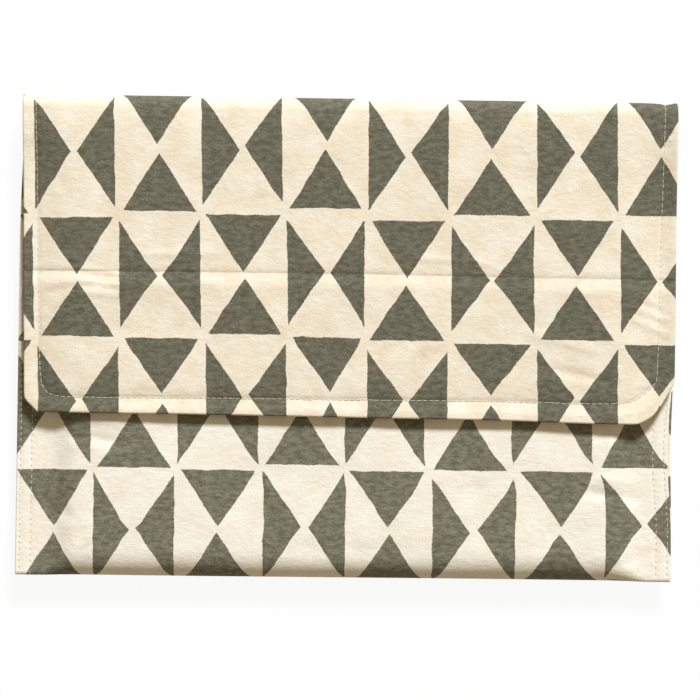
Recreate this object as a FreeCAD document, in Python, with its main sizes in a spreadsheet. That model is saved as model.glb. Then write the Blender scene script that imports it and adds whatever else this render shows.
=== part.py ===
"""Padded laptop sleeve with an envelope flap, lying closed on its back.

X runs along the fold, Y from the bottom seam to the fold, Z up out of the front.
The origin is in the middle of the rest face. All sizes are in millimetres.
"""
import FreeCAD, Part
import os
import Sketcher

SIZES = {
    "sleeve_width": 350,
    "sleeve_length": 256,
    "bay_thickness": 12,
    "canvas_thickness": 0.8,
    "padding_thickness": 2,
    "lining_thickness": 0.4,
    "interlining_thickness": 1.2,
    "seam_width": 9.5,
    "side_slope": 12.5,
    "mouth_setback": 16,
    "fold_radius": 8,
    "flap_side_gap": 1,
    "flap_length": 168,
    "left_corner_cut": 9,
    "right_corner_cut": 16,
    "edge_inset": 1.5,
    "flap_row_inset": 9,
    "outer_row_inset": 2,
    "inner_row_inset": 8,
    "mouth_row_inset": 6,
    "root_row_inset": 4,
    "thread_thickness": 0.4,
    "tape_length": 50,
    "tape_width": 20,
    "tape_thickness": 1.1,
    "tape_clearance": 0.2,
    "tape_side_inset": 64,
    "tape_tip_inset": 26,
    "tape_row_inset": 2,
}

# Formulas that several pieces share. HALF is half the closed body, at the seam's height.
CANVAS = "sizes.canvas_thickness"
LINING = "sizes.lining_thickness"
HALF = f"(sizes.bay_thickness / 2 + {LINING} + sizes.padding_thickness + {CANVAS})"
BODY = f"(2 * {HALF})"
FLAP = f"({CANVAS} + sizes.interlining_thickness + {LINING})"
CLOSURE = "(2 * sizes.tape_thickness + sizes.tape_clearance)"
TOTAL = f"({BODY} + {CLOSURE} + {FLAP})"
TOP = "(sizes.sleeve_length / 2)"
FOLD_Y = f"({TOP} - sizes.fold_radius)"
MOUTH_Y = f"({TOP} - sizes.mouth_setback)"
TIP_Y = f"({TOP} - sizes.flap_length)"
SIDE = "(sizes.sleeve_width / 2)"
FLAP_SIDE = f"({SIDE} - sizes.flap_side_gap)"
FLAT_SIDE = f"({SIDE} - sizes.seam_width - sizes.side_slope)"
THREAD = "sizes.thread_thickness"

# How far each surface of a wall lies from the seam's height: in the middle, and in the seam.
LAYERS = {
    "canvas_out": (HALF, f"({CANVAS} + {LINING})"),
    "padding_out": (f"({HALF} - {CANVAS})", LINING),
    "lining_out": (f"({HALF} - {CANVAS} - sizes.padding_thickness)", LINING),
    "bay": ("(sizes.bay_thickness / 2)", "0"),
}

# Turn a cylinder to run along X; a quarter of it then faces +Y, low or high.
ALONG_X = FreeCAD.Rotation(FreeCAD.Vector(0, 1, 0), 90)
ALONG_X_UP = FreeCAD.Rotation(FreeCAD.Vector(1, 1, 1), 120)

doc = FreeCAD.newDocument("laptop_sleeve")
nodes = []


def make_sheet():
    sheet = doc.addObject("Spreadsheet::Sheet", "sizes")
    for row, (alias, value) in enumerate(SIZES.items(), start=1):
        sheet.set(f"A{row}", str(value))
        sheet.setAlias(f"A{row}", alias)
    doc.recompute()


def node(thing, label):
    """Name a finished piece, which is then written to a file of that name."""
    thing.Label = label
    nodes.append(thing)
    return thing


def bind(thing, **formulas):
    """Bind properties to formulas; x, y and z stand for the place."""
    for name, formula in formulas.items():
        path = f"Placement.Base.{name}" if name in ("x", "y", "z") else name
        thing.setExpression(path, formula)
    return thing


def box(name, length, width, height, x, y, z):
    thing = doc.addObject("Part::Box", name)
    return bind(thing, Length=length, Width=width, Height=height, x=x, y=y, z=z)


def centred_box(name, length, width, height, x, y, z):
    """A box whose middle is at x and y, standing on z."""
    return box(name, length, width, height, f"({x}) - ({length}) / 2", f"({y}) - ({width}) / 2", z)


def cut(name, base, *tools):
    """Base without the tools."""
    thing = doc.addObject("Part::Cut", name)
    thing.Base = base
    thing.Tool = tools[0] if len(tools) == 1 else group(name + "_tools", tools)
    return thing


def group(name, things):
    compound = doc.addObject("Part::Compound", name)
    compound.Links = list(things)
    return compound


def common(name, first, second):
    thing = doc.addObject("Part::Common", name)
    thing.Base = first
    thing.Tool = second
    return thing


def body_with_sketch(name, plane):
    """A PartDesign body with an empty sketch on one of its own origin planes."""
    body = doc.addObject("PartDesign::Body", name)
    sketch = body.newObject("Sketcher::SketchObject", name + "_sketch")
    origin_plane = next(p for p in body.Origin.OriginFeatures if p.Role == plane)
    sketch.AttachmentSupport = (origin_plane, "")
    sketch.MapMode = "FlatFace"
    return body, sketch


def place_point(sketch, geometry, point, label, across, up):
    """Tie one end of a line or arc to a place given by two formulas."""
    for axis, formula in (("X", across), ("Y", up)):
        index = sketch.addConstraint(
            Sketcher.Constraint("Distance" + axis, -1, 1, geometry, point, 1)
        )
        name = f"{label}_{axis.lower()}"
        sketch.renameConstraint(index, name)
        sketch.setExpression("Constraints." + name, formula)


def padded(name, plane, corners, length, symmetric=False, z="0"):
    """A closed outline through corners given by formulas, padded along its plane's normal."""
    body, sketch = body_with_sketch(name, plane)
    for index in range(len(corners)):
        start = FreeCAD.Vector(index, index * index, 0)
        end = FreeCAD.Vector(index + 1, (index + 1) ** 2, 0)
        sketch.addGeometry(Part.LineSegment(start, end), False)
    for index, (across, up) in enumerate(corners):
        following = (index + 1) % len(corners)
        sketch.addConstraint(Sketcher.Constraint("Coincident", index, 2, following, 1))
        place_point(sketch, index, 1, f"corner{index}", across, up)
    pad = body.newObject("PartDesign::Pad", name + "_pad")
    pad.Profile = sketch
    pad.SideType = "Symmetric" if symmetric else "One side"
    bind(pad, Length=length)
    return bind(body, z=z)


def section_envelope(name, layer, end_y):
    """The body's long section out to one layer: a round bottom edge, then flat up to end_y."""
    reach = LAYERS[layer][0]
    centre_y = f"{HALF} - {TOP}"
    bottom = doc.addObject("Part::Cylinder", name + "_bottom")
    bind(bottom, Radius=reach, Height="2 * sizes.sleeve_width", y=centre_y, z=HALF)
    bottom.Placement.Rotation = ALONG_X
    bind(bottom, x="-sizes.sleeve_width")
    flat = box(
        name + "_flat",
        "2 * sizes.sleeve_width",
        f"{end_y} - ({centre_y})",
        f"2 * {reach}",
        "-sizes.sleeve_width",
        centre_y,
        f"{HALF} - {reach}",
    )
    fuse = doc.addObject("Part::Fuse", name)
    fuse.Base = bottom
    fuse.Tool = flat
    return fuse


def half_envelope(name, layer, side, end_y):
    """Everything between the seam's height and one layer, with the flat seams at the sides.

    side is + for the front wall and - for the back wall.
    """
    middle, seam = LAYERS[layer]
    level = f"{HALF} {side} {middle}"
    ledge = f"{HALF} {side} {seam}"
    foot = f"({SIDE} - sizes.seam_width)"
    corners = [(f"-{foot}", ledge), (f"-{FLAT_SIDE}", level), (FLAT_SIDE, level), (foot, ledge)]
    if layer != "bay":
        left_seam = [(f"-{SIDE}", HALF), (f"-{SIDE}", ledge)]
        right_seam = [(SIDE, ledge), (SIDE, HALF)]
        corners = left_seam + corners + right_seam
    cross = padded(name + "_cross", "XZ_Plane", corners, "2 * sizes.sleeve_length", symmetric=True)
    return common(name, cross, section_envelope(name + "_section", layer, end_y))


def make_wall(place, side):
    """Canvas, padding and lining of the front or back wall; the canvas turns over its end."""
    hem_y = f"({MOUTH_Y} - {CANVAS})"
    beyond_y = f"({MOUTH_Y} + sizes.mouth_setback)"
    canvas_out = half_envelope(f"{place}_canvas_out", "canvas_out", side, MOUTH_Y)
    padding_out = half_envelope(f"{place}_padding_out", "padding_out", side, hem_y)
    lining_out = half_envelope(f"{place}_lining_out", "lining_out", side, hem_y)
    bay = half_envelope(f"{place}_bay", "bay", side, beyond_y)
    node(cut(f"{place}_pad", padding_out, lining_out), f"{place}_padding")
    node(cut(f"{place}_lining_wall", lining_out, bay), f"{place}_lining")
    return cut(f"{place}_canvas_wall", canvas_out, padding_out, bay)


def seam_threads():
    """Two rows of stitches down each side seam, sunk in the front and in the back canvas."""
    seam = f"({CANVAS} + {LINING})"
    length = f"{MOUTH_Y} + {TOP} - {HALF}"
    fronts, backs = [], []
    for hand, sign in (("left", "-"), ("right", "")):
        for row in ("outer", "inner"):
            name = f"{hand}_seam_{row}"
            x = f"{sign}({SIDE} - sizes.{row}_row_inset)"
            y = f"({HALF} - {TOP} + {MOUTH_Y}) / 2"
            size = (THREAD, length, THREAD)
            front = centred_box(name + "_front", *size, x, y, f"{HALF} + {seam} - {THREAD}")
            back = centred_box(name + "_back", *size, x, y, f"{HALF} - {seam}")
            node(group(name, [front, back]), name + "_thread")
            fronts.append(front)
            backs.append(back)
    return fronts, backs


def cross_thread(label, y, z):
    """A row of stitches across the flat of a wall."""
    thread = centred_box(label + "_row", f"2 * {FLAT_SIDE}", THREAD, THREAD, "0", y, z)
    return node(thread, label)


def tape(kind, hand, sign, z, row_z):
    """One piece of hook or loop tape, with its ring of stitches sunk in the open face."""
    name = f"{hand}_{kind}"
    x = f"{sign}({FLAP_SIDE} - sizes.tape_side_inset)"
    y = f"{TIP_Y} + sizes.tape_tip_inset"
    rings = []
    insets = ("sizes.tape_row_inset", f"(sizes.tape_row_inset + {THREAD})")
    for part, inset in zip(("outer", "inner"), insets):
        length = f"(sizes.tape_length - 2 * {inset})"
        width = f"(sizes.tape_width - 2 * {inset})"
        rings.append(centred_box(f"{name}_{part}", length, width, THREAD, x, y, row_z))
    blank = centred_box(
        name + "_blank", "sizes.tape_length", "sizes.tape_width", "sizes.tape_thickness", x, y, z
    )
    ring = node(cut(name + "_ring", *rings), name + "_stitching")
    node(cut(name + "_cut", blank, ring), name + "_tape")


def make_body():
    front = make_wall("front", "+")
    back = make_wall("back", "-")
    front_rows, back_rows = seam_threads()
    mouth = cross_thread("mouth_hem_thread", f"{MOUTH_Y} - sizes.mouth_row_inset", f"{BODY} - {THREAD}")
    root = cross_thread("flap_seam_thread", f"{MOUTH_Y} - sizes.root_row_inset", "0")
    node(cut("front_canvas", front, *front_rows, mouth), "outer_front_panel")
    node(cut("back_canvas", back, *back_rows, root), "outer_back_panel")
    for hand, sign in (("left", "-"), ("right", "")):
        row_z = f"{BODY} + sizes.tape_thickness - {THREAD}"
        tape("loop", hand, sign, BODY, row_z)


# The three layers of the flap, from its outer face inwards: how deep each starts, its
# thickness, and how far it stays inside the flap's edges.
FLAP_LAYERS = (
    ("canvas", "0", CANVAS, "0"),
    ("interlining", CANVAS, "sizes.interlining_thickness", "sizes.edge_inset"),
    ("lining", f"({CANVAS} + sizes.interlining_thickness)", LINING, "sizes.edge_inset"),
)


def make_root_and_spine():
    """The flap's strip that is sewn to the back, and its strip over the closed mouth."""
    for layer, depth, thickness, inset in FLAP_LAYERS:
        width = f"(2 * ({FLAP_SIDE} - {inset}))"
        left = f"-{width} / 2"
        root = box(
            f"root_{layer}_strip", width, f"{FOLD_Y} - {MOUTH_Y}", thickness, left, MOUTH_Y, depth
        )
        node(root, f"flap_root_{layer}")
        spine = box(
            f"spine_{layer}_strip",
            width,
            thickness,
            f"{TOTAL} - 2 * sizes.fold_radius",
            left,
            f"{TOP} - {depth} - {thickness}",
            "sizes.fold_radius",
        )
        node(spine, f"spine_{layer}")


def make_folds():
    """The quarter rounds of canvas and lining at both folds; the interlining stops short."""
    folds = (
        ("back_fold", "sizes.fold_radius", ALONG_X),
        ("front_fold", f"({TOTAL} - sizes.fold_radius)", ALONG_X_UP),
    )
    for fold, centre_z, turn in folds:
        for layer, depth, thickness, inset in FLAP_LAYERS:
            if layer == "interlining":
                continue
            width = f"(2 * ({FLAP_SIDE} - {inset}))"
            rounds = []
            for face, radius in (
                ("out", f"sizes.fold_radius - {depth}"),
                ("in", f"sizes.fold_radius - {depth} - {thickness}"),
            ):
                quarter = doc.addObject("Part::Cylinder", f"{fold}_{layer}_{face}")
                quarter.Angle = 90
                quarter.Placement.Rotation = turn
                bind(quarter, Radius=radius, Height=width)
                rounds.append(bind(quarter, x=f"-{width} / 2", y=FOLD_Y, z=centre_z))
            node(cut(f"{fold}_{layer}_round", *rounds), f"{fold}_{layer}")


def flap_corners(inset):
    """The flap's outline from the left end of its fold, round its tip, to the right end."""
    side = f"({FLAP_SIDE} - {inset})"
    tip = f"({TIP_Y} + {inset})"
    corners = [(f"-{side}", FOLD_Y)]
    left, right = (
        f"(sizes.{hand}_corner_cut - {inset} * (2 - sqrt(2)))" for hand in ("left", "right")
    )
    corners += [(f"-{side}", f"{tip} + {left}"), (f"{left} - {side}", tip)]
    corners += [(f"{side} - {right}", tip), (side, f"{tip} + {right}")]
    return corners + [(side, FOLD_Y)]


def make_flap():
    outside = flap_corners(f"(sizes.flap_row_inset - {THREAD} / 2)")
    inside = flap_corners(f"(sizes.flap_row_inset + {THREAD} / 2)")
    row_z = f"{TOTAL} - {THREAD}"
    row = padded("flap_row", "XY_Plane", outside + inside[::-1], THREAD, z=row_z)
    node(row, "flap_edge_thread")
    for layer, depth, thickness, inset in FLAP_LAYERS:
        z = f"{TOTAL} - {depth} - {thickness}"
        panel = padded(f"flap_{layer}_panel", "XY_Plane", flap_corners(inset), thickness, z=z)
        if layer == "canvas":
            node(cut("flap_canvas_cut", panel, row), "flap_outer_panel")
        else:
            node(panel, f"flap_{layer}")
    for hand, sign in (("left", "-"), ("right", "")):
        hook_z = f"{TOTAL} - {FLAP} - sizes.tape_thickness"
        tape("hook", hand, sign, hook_z, hook_z)


def check_and_write():
    """Stop on any failed object or shape, then write each piece to its file."""
    doc.recompute()
    failed = [o.Name for o in doc.Objects if "Invalid" in o.State or "Error" in o.State]
    failed += [p.Label for p in nodes if p.Shape.isNull() or not p.Shape.isValid()]
    failed += [p.Label for p in nodes if not p.Shape.Solids]
    if failed:
        raise RuntimeError("these did not build: " + ", ".join(failed))
    os.makedirs("parts", exist_ok=True)
    for piece in nodes:
        piece.Shape.exportStep(f"parts/{piece.Label}.step")
        print(f"{piece.Label}: {len(piece.Shape.Solids)} solids, {piece.Shape.Volume:.1f} mm3")


make_sheet()
make_body()
make_root_and_spine()
make_folds()
make_flap()
check_and_write()
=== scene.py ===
"""Looks of the padded laptop sleeve: printed canvas, linings, stitches and touch tape.

Every cloth is a slab built on a surface. A surface maps flat cloth coordinates (across, along),
in metres, to a place in the row frame; a slab fills a range of depths below its surface.
"""
import math

import bpy
import numpy as np
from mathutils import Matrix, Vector


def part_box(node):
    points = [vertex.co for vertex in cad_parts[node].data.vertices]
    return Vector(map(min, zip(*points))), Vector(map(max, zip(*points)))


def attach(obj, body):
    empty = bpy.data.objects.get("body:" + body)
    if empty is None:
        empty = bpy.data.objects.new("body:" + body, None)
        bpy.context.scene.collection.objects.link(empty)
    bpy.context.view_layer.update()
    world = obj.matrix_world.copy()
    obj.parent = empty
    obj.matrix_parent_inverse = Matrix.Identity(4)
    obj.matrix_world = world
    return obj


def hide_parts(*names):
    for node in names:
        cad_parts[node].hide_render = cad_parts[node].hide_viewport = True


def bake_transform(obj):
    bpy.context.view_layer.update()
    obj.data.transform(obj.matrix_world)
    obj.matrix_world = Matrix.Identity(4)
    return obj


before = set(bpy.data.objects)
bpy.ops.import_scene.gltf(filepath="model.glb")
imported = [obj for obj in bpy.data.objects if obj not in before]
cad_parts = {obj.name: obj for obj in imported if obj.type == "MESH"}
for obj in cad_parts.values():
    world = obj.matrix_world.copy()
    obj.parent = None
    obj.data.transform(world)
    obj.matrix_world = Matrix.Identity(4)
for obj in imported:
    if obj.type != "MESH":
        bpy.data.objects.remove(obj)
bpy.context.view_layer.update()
scene = bpy.context.scene
MM = 0.001

# Sizes read from the frame.
front_low, front_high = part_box("outer_front_panel")
flap_low, flap_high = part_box("flap_outer_panel")
spine_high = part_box("spine_canvas")[1]
HALF_WIDTH = front_high[0]
BOTTOM_Y = front_low[1]
MOUTH_Y = front_high[1]
TOP_Y = spine_high[1]
BODY_Z = front_high[2]
TOTAL_Z = flap_high[2]
TIP_Y = flap_low[1]
FOLD_Y = flap_high[1]
FOLD_RADIUS = TOP_Y - FOLD_Y
FLAP_HALF_WIDTH = flap_high[0]
CANVAS = flap_high[2] - flap_low[2]
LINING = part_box("flap_lining")[1][2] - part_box("flap_lining")[0][2]
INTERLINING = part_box("flap_interlining")[1][2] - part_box("flap_interlining")[0][2]
PADDING = BODY_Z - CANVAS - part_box("front_lining")[1][2]
SEAM_HALF = CANVAS + LINING
STITCH_PITCH = 3.2 * MM
FLAP_DEPTH = CANVAS + INTERLINING + LINING


def smooth(t):
    """Rises from 0 to 1 with a soft start and end."""
    t = np.clip(t, 0, 1)
    return t * t * t * (t * (6 * t - 15) + 10)


def hump(t):
    """A bell, 1 at t = 0 and nearly 0 beyond t = 2."""
    return np.exp(-t * t)


def soft_min(values, softness):
    """The smallest of several arrays, rounded where two of them meet."""
    stack = np.stack([-v / softness for v in values])
    top = stack.max(axis=0)
    return -softness * (np.log(np.exp(stack - top).sum(axis=0)) + top)


def swell(x, y, size, seed):
    """Smooth random relief from about -1 to 1, with features about size across."""
    table = np.random.default_rng(seed).standard_normal((64, 64)) * 0.6
    gx, gy = x / size, y / size
    ix, iy = np.floor(gx).astype(int), np.floor(gy).astype(int)
    fx, fy = smooth(gx - ix), smooth(gy - iy)
    a, b = table[ix % 64, iy % 64], table[(ix + 1) % 64, iy % 64]
    c, d = table[ix % 64, (iy + 1) % 64], table[(ix + 1) % 64, (iy + 1) % 64]
    return (a * (1 - fx) + b * fx) * (1 - fy) + (c * (1 - fx) + d * fx) * fy


def pleat(x, y, start, end, width, height):
    """A soft ridge (or, below 0, a valley) along a line, fading at both its ends."""
    (x0, y0), (x1, y1) = start, end
    length = math.hypot(x1 - x0, y1 - y0)
    ux, uy = (x1 - x0) / length, (y1 - y0) / length
    along = (x - x0) * ux + (y - y0) * uy
    across = (y - y0) * ux - (x - x0) * uy
    fade = smooth(along / (0.3 * length)) * smooth((length - along) / (0.3 * length))
    return height * fade * hump(across / width)


TAPE_LOW, TAPE_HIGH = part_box("right_loop_tape")
TAPE_CALM_RUN = 9 * MM


def tape_calm(x, y):
    """1 over the touch tapes, which keep the cloth flat, and 0 away from them."""
    out_x = np.maximum(TAPE_LOW[0] - np.abs(x), np.abs(x) - TAPE_HIGH[0])
    out_y = np.maximum(TAPE_LOW[1] - y, y - TAPE_HIGH[1])
    return 1 - smooth(np.maximum(out_x, out_y) / TAPE_CALM_RUN)


def pleats(x, y, table):
    """The sum of several pleats, each given by its start, end, width and height in mm."""
    total = 0.0
    for start, end, width, height in table:
        total = total + pleat(x, y, start, end, width * MM, height * MM)
    return total


class Surface:
    """A surface over cloth coordinates; side is 1 if its outside is along cross(across, along)."""

    def __init__(self, place, side):
        self.place = place
        self.side = side

    def at(self, x, s, depth=0.0):
        e = 0.1 * MM
        across = self.place(x + e, s) - self.place(x - e, s)
        along = self.place(x, s + e) - self.place(x, s - e)
        normal = np.cross(across, along) * self.side
        normal /= np.maximum(np.linalg.norm(normal, axis=-1, keepdims=True), 1e-12)
        return self.place(x, s) - normal * np.asarray(depth)[..., None]


# -------- the body's walls

SEAM_WIDTH = 9.5 * MM
SIDE_RUN = 26 * MM
SEAM_ROLL = 2.5 * MM
SIDE_SEAM_Z = 12 * MM
BOTTOM_SEAM_Z = 7 * MM
SEAM_DROP_START = 45 * MM
MOUTH_SEAM_Z = 2.2 * MM
RIGHT_TAPER = 1 * MM
OUTER_ROW = 2 * MM
INNER_ROW = 8 * MM
MOUTH_ROW = 6 * MM
ROOT_ROW = 4 * MM
EDGE_DRAW_START = 0.12
FRONT_DRAW = 2.9 * MM
BACK_DRAW = 1.0 * MM
DRAW_MIDDLE_Y = -0.056

# The roll at the bottom leaves the seam upright and bends over more and more gently.
roll_share = np.linspace(0, 1, 241)
roll_tilt = math.pi / 2 * (1 - roll_share) ** 1.5
roll_out = np.cumsum(np.cos(roll_tilt)) - np.cos(roll_tilt[0])
roll_up = np.cumsum(np.sin(roll_tilt)) - np.sin(roll_tilt[0])
ROLL_LENGTH = (BODY_Z - BOTTOM_SEAM_Z) * (len(roll_share) - 1) / roll_up[-1]
ROLL_OUT = (BODY_Z - BOTTOM_SEAM_Z) * roll_out[-1] / roll_up[-1]
WALL_LENGTH = ROLL_LENGTH + MOUTH_Y - BOTTOM_Y - ROLL_OUT


def roll(s):
    """How far up the sleeve, and how high, the bottom roll has come at s, both from 0 to 1."""
    share = np.clip(np.abs(s) / ROLL_LENGTH, 0, 1)
    out = np.interp(share, roll_share, roll_out / roll_out[-1])
    return out, np.interp(share, roll_share, roll_up / roll_up[-1]) * np.where(s < 0, -1, 1)


def wall_inside(x):
    """0 over the side seams and 1 over the padding."""
    return smooth((HALF_WIDTH - SEAM_WIDTH - np.abs(x)) / SIDE_RUN)


def wall_y(x, s):
    """How far up the sleeve a point of a wall lies, with the tighter roll in the side seams."""
    inside = wall_inside(x)
    reach = SEAM_ROLL + (ROLL_OUT - SEAM_ROLL) * inside
    straight = (MOUTH_Y - BOTTOM_Y - reach) / (WALL_LENGTH - ROLL_LENGTH)
    out, rise = roll(s)
    y = BOTTOM_Y + reach * out + np.maximum(s - ROLL_LENGTH, 0) * straight
    right = smooth((x / HALF_WIDTH + 1) / 2)
    y = y + RIGHT_TAPER * right * (MOUTH_Y - y) / (MOUTH_Y - BOTTOM_Y)
    return y, rise, inside


def wall_x(x, y, draw):
    """A wall's right edge is drawn in a little below the middle, and its left edge all along."""
    right = smooth((x - EDGE_DRAW_START) / (HALF_WIDTH - EDGE_DRAW_START))
    left = smooth((-x - EDGE_DRAW_START) / (HALF_WIDTH - EDGE_DRAW_START))
    below_middle = hump((y - DRAW_MIDDLE_Y) / 0.03)
    return x - 0.4 * MM - draw * right * below_middle + 0.5 * MM * left


def seam_z(y, inside):
    """The height where the walls meet: the side seams come down to the table at the mouth."""
    drop = smooth((y - SEAM_DROP_START) / (MOUTH_Y - SEAM_DROP_START))
    height = SIDE_SEAM_Z + (BOTTOM_SEAM_Z - SIDE_SEAM_Z) * inside
    return height + (MOUTH_SEAM_Z - height) * drop


def side_row_relief(x, s):
    """The canvas pulled down by the two rows of stitches in each side seam."""
    edge = HALF_WIDTH - np.abs(x)
    beat = 0.75 + 0.25 * np.cos(2 * math.pi * s / STITCH_PITCH)
    outer = hump((edge - OUTER_ROW) / (0.7 * MM))
    inner = hump((edge - INNER_ROW) / (0.9 * MM))
    puff = hump((edge - (OUTER_ROW + INNER_ROW) / 2) / (2.2 * MM))
    return 0.2 * MM * puff - (0.2 * MM * outer + 0.22 * MM * inner) * beat


FRONT_PLEATS = (
    ((-0.155, -0.052), (-0.108, -0.058), 3.2, -0.7),
    ((-0.150, -0.044), (-0.112, -0.047), 2.2, 0.45),
    ((-0.170, -0.083), (-0.140, -0.099), 2.6, -0.6),
    ((0.122, -0.079), (0.168, -0.084), 3.0, -0.9),
    ((0.130, -0.072), (0.166, -0.075), 2.5, 0.5),
    ((0.128, -0.052), (0.170, -0.040), 3.0, -0.5),
    ((0.140, -0.121), (0.172, -0.109), 3.0, -0.8),
    ((-0.05, -0.112), (0.06, -0.113), 5.0, -0.35),
)


def front_relief(x, y):
    """Creases and soft wrinkles of the front wall, in metres above its plain shape."""
    relief = 0.45 * MM * swell(x, y, 42 * MM, 3) + 0.16 * MM * swell(x, y, 13 * MM, 4)
    return (relief + pleats(x, y, FRONT_PLEATS)) * (1 - tape_calm(x, y))


ROW_DIP = 0.35 * MM
ROW_DIP_WIDTH = 0.9 * MM


def front_place(x, s):
    y, rise, inside = wall_y(x, s)
    low = seam_z(y, inside)
    top = low + SEAM_HALF + (BODY_Z - low - SEAM_HALF) * inside
    top = top + front_relief(x, y) * (0.25 + 0.75 * inside) + side_row_relief(x, s)
    top = top - ROW_DIP * hump((y - (MOUTH_Y - MOUTH_ROW)) / ROW_DIP_WIDTH) * inside
    z = low + (top - low) * rise
    return np.stack(np.broadcast_arrays(wall_x(x, y, FRONT_DRAW), y, z), axis=-1)


def back_place(x, s):
    y, rise, inside = wall_y(x, s)
    low = seam_z(y, inside)
    bottom = (low - SEAM_HALF) * (1 - inside) - side_row_relief(x, s) + 0.15 * MM * inside
    bottom = bottom + ROW_DIP * hump((y - (MOUTH_Y - ROOT_ROW)) / ROW_DIP_WIDTH) * inside
    z = low - (low - bottom) * rise
    return np.stack(np.broadcast_arrays(wall_x(x, y, BACK_DRAW), y, z), axis=-1)


FRONT = Surface(front_place, 1)
BACK = Surface(back_place, -1)


# -------- the flap's cloth

ROOT_END = FOLD_Y - MOUTH_Y
FOLD_ARC = FOLD_RADIUS * math.pi / 2
SPINE_END = ROOT_END + FOLD_ARC + (TOTAL_Z - 2 * FOLD_RADIUS)
FLAP_START = SPINE_END + FOLD_ARC
TIP_FULLNESS = 1.6 * MM
FLAP_END = FLAP_START + FOLD_Y - TIP_Y + TIP_FULLNESS
SPINE_MIDDLE = (ROOT_END + FOLD_ARC + SPINE_END) / 2
LEFT_NARROWING = 3.3 * MM
RIGHT_WIDENING = 0.5 * MM
FLAP_DROOP = 3.4 * MM
DROOP_START = 138 * MM
LEFT_CUT = 7.0 * MM
TIP_TILT = 0.006
RIGHT_CUT = 21.5 * MM
RIGHT_CUT_SLOPE = 0.6
RIGHT_CUT_ROUND = 9 * MM
ROW_SOFTNESS = 4.6 * MM
CREASE_Y = 34 * MM
CREASE_ABOVE = 1.2 * MM
CREASE_BELOW = 2.4 * MM
HEM_RISE = 0.9 * MM
SHOULDER_DROP = 0.9 * MM
TIP_RUN = 60 * MM


def soft_ramp(t, softness):
    """t where it is above 0, and 0 below, with a soft bend between."""
    return np.logaddexp(0, t / softness) * softness


def rounding(edge, radius):
    """How far a rounded edge falls below its surface, by the distance inside that edge."""
    near = np.clip(1 - edge / radius, 0, 1)
    return radius * (1 - np.sqrt(1 - near * near))


def flap_sides(s):
    """Where the flap's left and right edges lie, cut away near its tip."""
    left_half = FLAP_HALF_WIDTH - LEFT_NARROWING * s / FLAP_END
    right_half = FLAP_HALF_WIDTH + RIGHT_WIDENING * s / FLAP_END
    from_tip = FLAP_END - s
    left_over = soft_ramp(LEFT_CUT - from_tip, 0.7 * MM)
    right_over = soft_ramp(RIGHT_CUT - from_tip, 0.9 * MM) * RIGHT_CUT_SLOPE
    right_over = right_over + rounding(from_tip, RIGHT_CUT_ROUND)
    return left_over - left_half, right_half - right_over


def flap_edges(x, s):
    """How far inside the flap's left, right and tip edges a point of the cloth lies."""
    left, right = flap_sides(s)
    e = 0.2 * MM
    ahead, behind = flap_sides(s + e), flap_sides(s - e)
    slopes = [(a - b) / (2 * e) for a, b in zip(ahead, behind)]
    left_share, right_share = (1 / np.sqrt(1 + slope**2) for slope in slopes)
    return (x - left) * left_share, (right - x) * right_share, FLAP_END - s


def flap_row_gap(x, s):
    """How far inside the flap's row of stitches a point lies; below 0 it is in the hem."""
    left, right, tip = flap_edges(x, s)
    share = np.clip(s / FLAP_END, 0, 1)
    left = left - (6.6 + 2.2 * share) * MM
    right = right - (6.2 + 3.5 * share) * MM
    tip = tip - (9.4 + 8.5 * x) * MM
    return soft_min([left, right, tip], ROW_SOFTNESS)


def flap_section(s):
    """The closed flap's outer line: height and reach of the root, folds, spine and flap."""
    back = np.clip((s - ROOT_END) / FOLD_RADIUS, 0, math.pi / 2)
    front = np.clip((s - SPINE_END) / FOLD_RADIUS, 0, math.pi / 2)
    y = MOUTH_Y + np.minimum(s, ROOT_END) + FOLD_RADIUS * np.sin(back)
    y = y + FOLD_RADIUS * (np.cos(front) - 1) - np.maximum(s - FLAP_START, 0)
    z = FOLD_RADIUS * (1 - np.cos(back)) + FOLD_RADIUS * np.sin(front)
    z = z + np.clip(s - ROOT_END - FOLD_ARC, 0, SPINE_END - ROOT_END - FOLD_ARC)
    return y, z


FLAP_PLEATS = (
    ((0.100, -0.012), (0.150, -0.022), 2.6, -0.6),
    ((0.085, 0.008), (0.140, -0.006), 3.0, 0.45),
    ((-0.165, 0.022), (-0.120, 0.030), 2.4, -0.4),
    ((0.020, 0.045), (0.085, 0.040), 2.2, 0.4),
    ((-0.148, 0.0365), (-0.114, 0.032), 1.7, 0.4),
    ((0.146, 0.0285), (0.173, 0.0175), 1.9, 0.38),
    ((-0.148, 0.0295), (-0.114, 0.0265), 1.7, 0.4),
    ((0.146, 0.0215), (0.173, 0.0105), 1.9, 0.38),
    ((-0.148, 0.023), (-0.114, 0.0215), 1.7, 0.4),
    ((0.146, 0.015), (0.173, 0.004), 1.9, 0.38),
    ((-0.120, 0.043), (-0.060, 0.045), 2.2, 0.35),
)


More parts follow.
